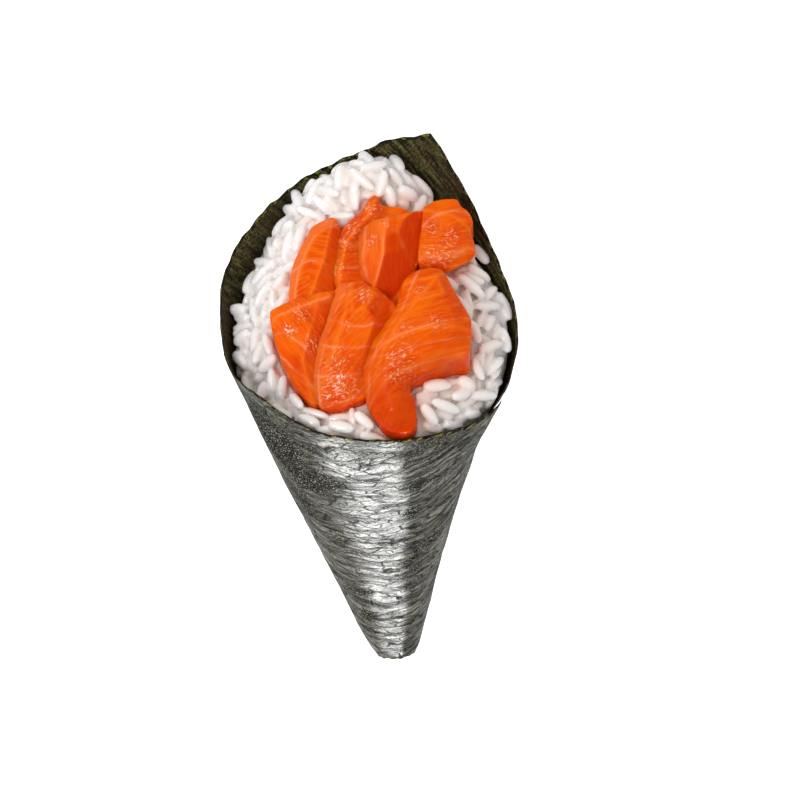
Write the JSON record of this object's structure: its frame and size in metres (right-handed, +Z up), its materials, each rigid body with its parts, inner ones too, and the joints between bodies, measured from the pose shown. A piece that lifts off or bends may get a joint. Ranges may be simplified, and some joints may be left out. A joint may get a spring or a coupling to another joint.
{
  "type": "salmon temaki hand roll",
  "caption": "Cone of rolled nori lying on its back, filled to the open mouth with sushi rice and topped with cut pieces of raw salmon.",
  "frame": {"origin": "on the table under the roll, on the flat strip along its underside, 87 mm from the point where the cone's wall would meet its axis", "axes": "+Z up, +Y along the table from the mouth towards the tip, +X towards the side of the roll without the raised corner"},
  "size_m": [0.0612, 0.1315, 0.0564],
  "materials": {
    "nori": "thin dried seaweed, glossy outside and matte at the cut edge",
    "rice": "moist cooked rice grains",
    "salmon": "moist raw salmon with pale fat lines"
  },
  "bodies": {
    "root": {"nori": "nori", "rice": "rice", "salmon_front_right": "salmon", "salmon_front_middle": "salmon", "salmon_front_left": "salmon", "salmon_centre": "salmon", "salmon_back_right": "salmon", "salmon_back_left": "salmon", "salmon_behind": "salmon"}
  },
  "joints": []
}
